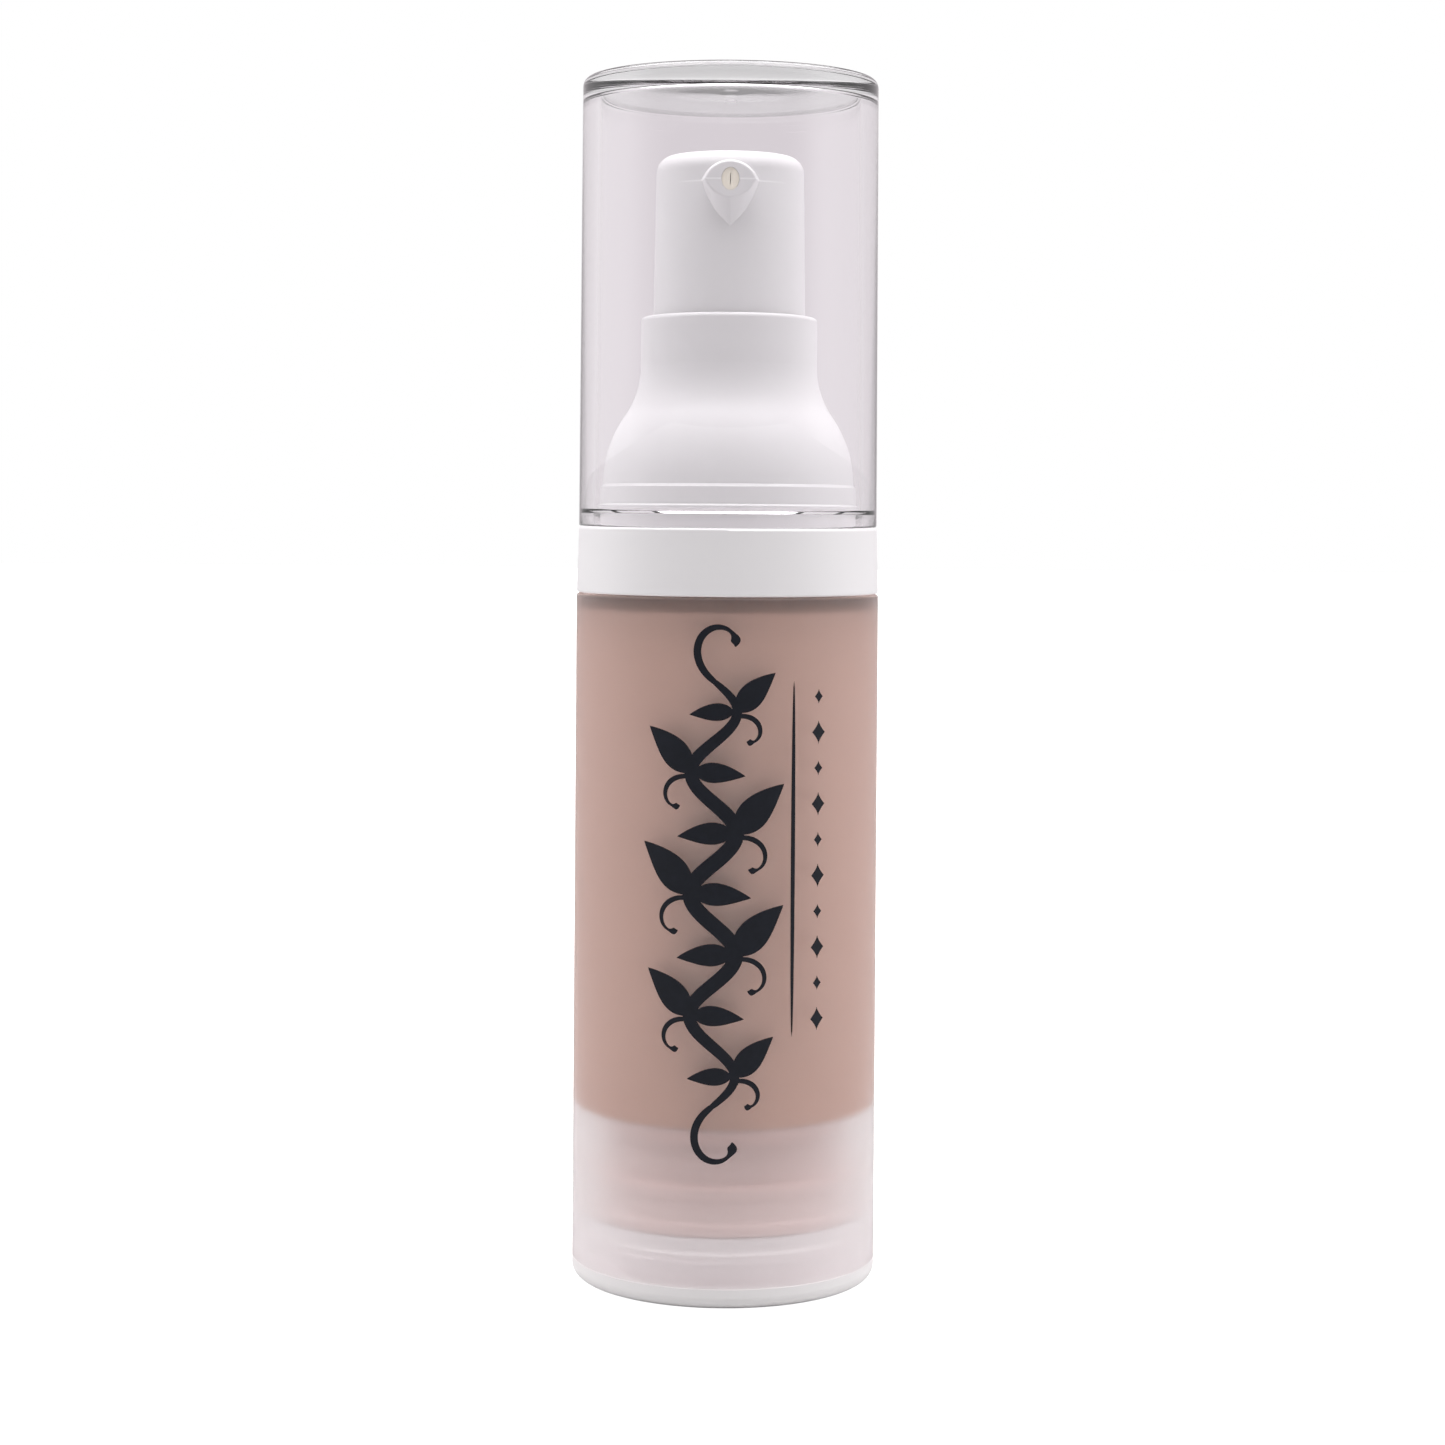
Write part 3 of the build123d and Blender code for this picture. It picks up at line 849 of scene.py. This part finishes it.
def ribbon(bm, path, width, steps, across=3):
    """A flat band along path(t) that is width(t) wide, t from 0 to 1. Lengths are in millimetres."""
    rows = []
    first = [bm.verts.new((0, 0, 0)) for _ in range(across + 1)]
    edges = [bm.edges.new(pair) for pair in zip(first, first[1:])]
    rows.append(first)
    for _ in range(steps):
        grown = bmesh.ops.extrude_edge_only(bm, edges=edges)["geom"]
        edges = [part for part in grown if isinstance(part, bmesh.types.BMEdge)]
        edges = [edge for edge in edges if edge.is_boundary and not (set(edge.verts) & set(rows[-1]))]
        ordered = [edges[0].verts[0], edges[0].verts[1]]
        rest = edges[1:]
        while rest:
            joined = next(edge for edge in rest if set(edge.verts) & {ordered[0], ordered[-1]})
            rest.remove(joined)
            if ordered[-1] in joined.verts:
                ordered.append(joined.other_vert(ordered[-1]))
            else:
                ordered.insert(0, joined.other_vert(ordered[0]))
        neighbour = {edge.other_vert(rows[-1][0]) for edge in rows[-1][0].link_edges}
        if ordered[0] not in neighbour:
            ordered.reverse()
        rows.append(ordered)
    for i, row in enumerate(rows):
        t = i / steps
        here = Vector(path(t))
        ahead = Vector(path(min(1.0, t + 0.002))) - Vector(path(max(0.0, t - 0.002)))
        side = Vector((-ahead.y, ahead.x)).normalized()
        for j, vert in enumerate(row):
            spot = here + side * width(t) * (j / across - 0.5)
            vert.co = Vector((spot.x, 0, spot.y)) * MM


def leaf(bm, root, angle, length, breadth, curl=0.25):
    """A pointed leaf from its root at an angle in degrees from straight up, with a curl to one side."""
    along = Vector((math.sin(math.radians(angle)), math.cos(math.radians(angle))))
    side = Vector((along.y, -along.x))

    def path(t):
        return Vector(root) + along * length * t + side * curl * length * t * t

    def width(t):
        return breadth * math.sin(math.pi * t ** 0.75) ** 0.9 * (1 - 0.15 * t) + 0.02

    ribbon(bm, path, width, 18, across=4)


def tendril(bm, root, angle, turn, reach, thickness):
    """A curling tendril that tightens towards its round end. Its angles are in degrees."""
    steps = 40
    bulb = 0.92
    spots = [Vector(root)]
    for k in range(steps):
        heading = math.radians(angle + turn * (k / steps) ** 1.3)
        stride = reach / steps * (1 - 0.4 * k / steps)
        spots.append(spots[-1] + Vector((math.sin(heading), math.cos(heading))) * stride)

    def path(t):
        place = min(steps - 1e-6, max(0.0, t * steps))
        return spots[int(place)].lerp(spots[int(place) + 1], place - int(place))

    def width(t):
        swell = 0.55 * math.sin(math.pi * t) ** 0.8 * (1 - 0.4 * t)
        end = 0.9 * math.exp(-(((t - bulb) / 0.07) ** 2))
        past = max(0.0, (t - bulb) / (1.01 - bulb))
        return thickness * (0.6 * (1 - t) + swell + end) * math.sqrt(1 - past ** 2)

    ribbon(bm, path, width, steps, across=2)


def diamond(bm, x, z, half_width, half_height):
    """A small four-pointed lozenge with hollow sides."""

    def path(t):
        return (x, z + half_height * (2 * t - 1))

    def width(t):
        return 2 * half_width * (1 - abs(2 * t - 1)) ** 1.5 + 0.02

    ribbon(bm, path, width, 12, across=2)


class BOTTLE_OT_ornament(bpy.types.Operator):
    """Print the leafy ornament, its rule and its row of lozenges on the wall"""

    bl_idname = "bottle.ornament"
    bl_label = "Printed Ornament"

    def execute(self, context):
        sizes = context.scene.bottle_sizes
        foot = sizes.print_low / MM
        tip = sizes.print_high / MM
        bm = bmesh.new()
        self.vine(bm, foot, tip)
        rule_aside = 6.6
        lozenges_aside = 9.4
        self.rule(bm, rule_aside, foot + 10.5, tip - 4.0)
        self.lozenges(bm, lozenges_aside, foot + 12.0, tip - 5.5, 10)
        self.wrap(bm, radius("bottle") + sizes.ink_thickness / MM)
        piece = finish_mesh("printed_ornament", bm, screen_ink(context.scene.bottle_colours), sharp=80)
        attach(piece, "container")
        return {"FINISHED"}

    def vine(self, bm, foot, tip):
        """A waving stem with two leaves at each bend, and curled ends."""
        centre = -1.2
        length = tip - foot - 8.0
        waves = 3.5

        def stem(t):
            return (centre + 2.2 * math.sin(math.tau * waves * t), foot + 4.0 + length * t)

        def stem_width(t):
            return 0.5 + 1.0 * math.sin(math.pi * t) ** 0.6

        ribbon(bm, stem, stem_width, 140, across=3)
        bends = int(waves * 2)
        for bend in range(bends):
            t = (bend + 0.5) / bends
            x, z = stem(t)
            side = 1 if bend % 2 == 0 else -1
            size = 0.85 + 0.35 * math.sin(math.pi * t)
            leaf(bm, (x, z), side * 38, 5.6 * size, 2.7 * size, curl=0.12 * side)
            leaf(bm, (x - side * 0.3, z), -side * 88, 4.6 * size, 1.9 * size, curl=-0.1 * side)
            tendril(bm, (x, z - 0.4), side * 85, side * 215, 6.6 * size, 0.6)
        tendril(bm, stem(0.0), 230, -250, 12.0, 0.9)
        tendril(bm, stem(1.0), -50, 250, 12.0, 0.9)

    def rule(self, bm, x, foot, tip):
        """A thin rule that tapers to a point at both ends."""

        def path(t):
            return (x, foot + (tip - foot) * t)

        def width(t):
            return 0.42 * math.sin(math.pi * t) ** 0.4 + 0.02

        ribbon(bm, path, width, 60, across=2)

    def lozenges(self, bm, x, foot, tip, count):
        """A spaced column of small lozenges, every second one smaller."""
        for i in range(count):
            z = foot + (tip - foot) * i / (count - 1)
            size = 1.0 if i % 2 == 0 else 0.62
            diamond(bm, x, z, 0.75 * size, 1.1 * size)

    def wrap(self, bm, wall):
        """Lays the flat drawing round the front of the bottle."""
        for vert in bm.verts:
            turn = vert.co.x / (wall * MM)
            vert.co = Vector((math.sin(turn) * wall * MM, -math.cos(turn) * wall * MM, vert.co.z))
        for face in bm.faces:
            outwards = face.calc_center_median()
            if face.normal.dot(Vector((outwards.x, outwards.y, 0))) < 0:
                face.normal_flip()


# ------------------------------------------------------------------------------------- stage


def studio_world(studio):
    """A soft white room that is dimmer behind the camera, seen by the camera as plain white."""
    world = bpy.data.worlds.new("Studio")
    world.use_nodes = True
    tree = world.node_tree
    back = (studio.back_light, studio.back_light * 0.945, studio.back_light * 0.98)
    split = tree.nodes.new("ShaderNodeSeparateXYZ")
    tree.links.new(tree.nodes.new("ShaderNodeTexCoord").outputs["Generated"], split.inputs[0])
    ramp = tree.nodes.new("ShaderNodeValToRGB")
    ramp.color_ramp.interpolation = "EASE"
    stops = ((0.0, studio.front_light), (0.16, studio.front_light), (0.46, studio.side_light))
    elements = ramp.color_ramp.elements
    elements[1].color = (*back, 1)
    for place, level in stops:
        stop = elements[0] if place == 0.0 else elements.new(place)
        stop.color = (level, level, level, 1)
    # The share is 0 behind the camera and 1 behind the bottle, and the right side is a little ahead.
    lean = math_node(tree, "MULTIPLY_ADD", split.outputs["X"], 0.05, 0.5)
    share = math_node(tree, "MULTIPLY_ADD", split.outputs["Y"], 0.5, lean)
    tree.links.new(share, ramp.inputs["Fac"])
    # Rays that have come through clear plastic see mostly the colour behind the bottle.
    path = tree.nodes.new("ShaderNodeLightPath")
    through = math_node(tree, "MULTIPLY", path.outputs["Is Transmission Ray"], 0.75)
    around = mix_colour(tree, through, ramp.outputs["Color"], back)
    seen = mix_colour(tree, path.outputs["Is Camera Ray"], around, (1.0, 1.0, 1.0))
    tree.links.new(seen, tree.nodes["Background"].inputs["Color"])
    bpy.context.scene.world = world


def area_light(name, place, target, width, height, power):
    """A white rectangular softbox that faces its target."""
    light = bpy.data.lights.new(name, "AREA")
    light.shape = "RECTANGLE"
    light.size = width
    light.size_y = height
    light.energy = power
    lamp = bpy.data.objects.new(name, light)
    lamp.location = place
    lamp.rotation_euler = (Vector(target) - Vector(place)).to_track_quat("-Z", "Y").to_euler()
    bpy.context.scene.collection.objects.link(lamp)


class BOTTLE_OT_stage(bpy.types.Operator):
    """Set the pale floor, the soft light and the camera"""

    bl_idname = "bottle.stage"
    bl_label = "Stage"

    def execute(self, context):
        studio = context.scene.bottle_studio
        self.floor()
        studio_world(studio)
        middle = (0, 0, 0.06)
        area_light("overhead_softbox", (0, -0.02, 0.42), middle, 0.5, 0.4, studio.top_light)
        self.camera(context, studio)
        context.scene.view_settings.view_transform = "Standard"
        return {"FINISHED"}

    def floor(self):
        """A plain pale floor, which glows white to the camera only."""
        bm = bmesh.new()
        bmesh.ops.create_grid(bm, x_segments=2, y_segments=2, size=3.0)
        material, tree, shader = new_material("Pale Floor")
        shader.inputs["Base Color"].default_value = (0.66, 0.66, 0.66, 1.0)
        shader.inputs["Roughness"].default_value = 0.9
        shader.inputs["Specular IOR Level"].default_value = 0.0
        shader.inputs["Emission Color"].default_value = (1.0, 1.0, 1.0, 1.0)
        path = tree.nodes.new("ShaderNodeLightPath")
        tree.links.new(path.outputs["Is Camera Ray"], shader.inputs["Emission Strength"])
        floor = finish_mesh("floor", bm, material)

    def camera(self, context, studio):
        """A level camera at arm's length, a little above the collar."""
        data = bpy.data.cameras.new("camera")
        data.sensor_width = 36.0
        data.lens = studio.lens
        data.shift_y = -studio.drop
        data.clip_start = 0.01
        camera = bpy.data.objects.new("camera", data)
        camera.matrix_world = (
            Matrix.Translation((studio.aside, -studio.distance, studio.eye))
            @ Matrix.Rotation(math.pi / 2, 4, "X")
            @ Matrix.Rotation(studio.roll, 4, "Z")
        )
        context.scene.collection.objects.link(camera)
        context.scene.camera = camera


# ------------------------------------------------------------------------------------- add-on


class BOTTLE_PT_panel(bpy.types.Panel):
    """Lists the pieces in the order in which they are made"""

    bl_label = "Foundation Bottle"
    bl_space_type = "VIEW_3D"
    bl_region_type = "UI"
    bl_category = "Bottle"

    def draw(self, context):
        for step in STEPS:
            self.layout.operator(step.bl_idname)


STEPS = (
    BOTTLE_OT_finishes,
    BOTTLE_OT_foundation,
    BOTTLE_OT_spring,
    BOTTLE_OT_ornament,
    BOTTLE_OT_overcap,
    BOTTLE_OT_stage,
)
GROUPS = {
    "bottle_sizes": BottleSizes,
    "bottle_colours": BottleColours,
    "bottle_studio": StudioSettings,
}


def register():
    for group in GROUPS.values():
        bpy.utils.register_class(group)
    for name, group in GROUPS.items():
        setattr(bpy.types.Scene, name, PointerProperty(type=group))
    for step in STEPS:
        bpy.utils.register_class(step)
    bpy.utils.register_class(BOTTLE_PT_panel)


def unregister():
    bpy.utils.unregister_class(BOTTLE_PT_panel)
    for step in reversed(STEPS):
        bpy.utils.unregister_class(step)
    for name, group in GROUPS.items():
        delattr(bpy.types.Scene, name)
        bpy.utils.unregister_class(group)


def main():
    register()
    bpy.ops.bottle.finishes()
    bpy.ops.bottle.foundation()
    bpy.ops.bottle.spring()
    bpy.ops.bottle.ornament()
    bpy.ops.bottle.overcap()
    bpy.ops.bottle.stage()


if __name__ == "__main__":
    main()
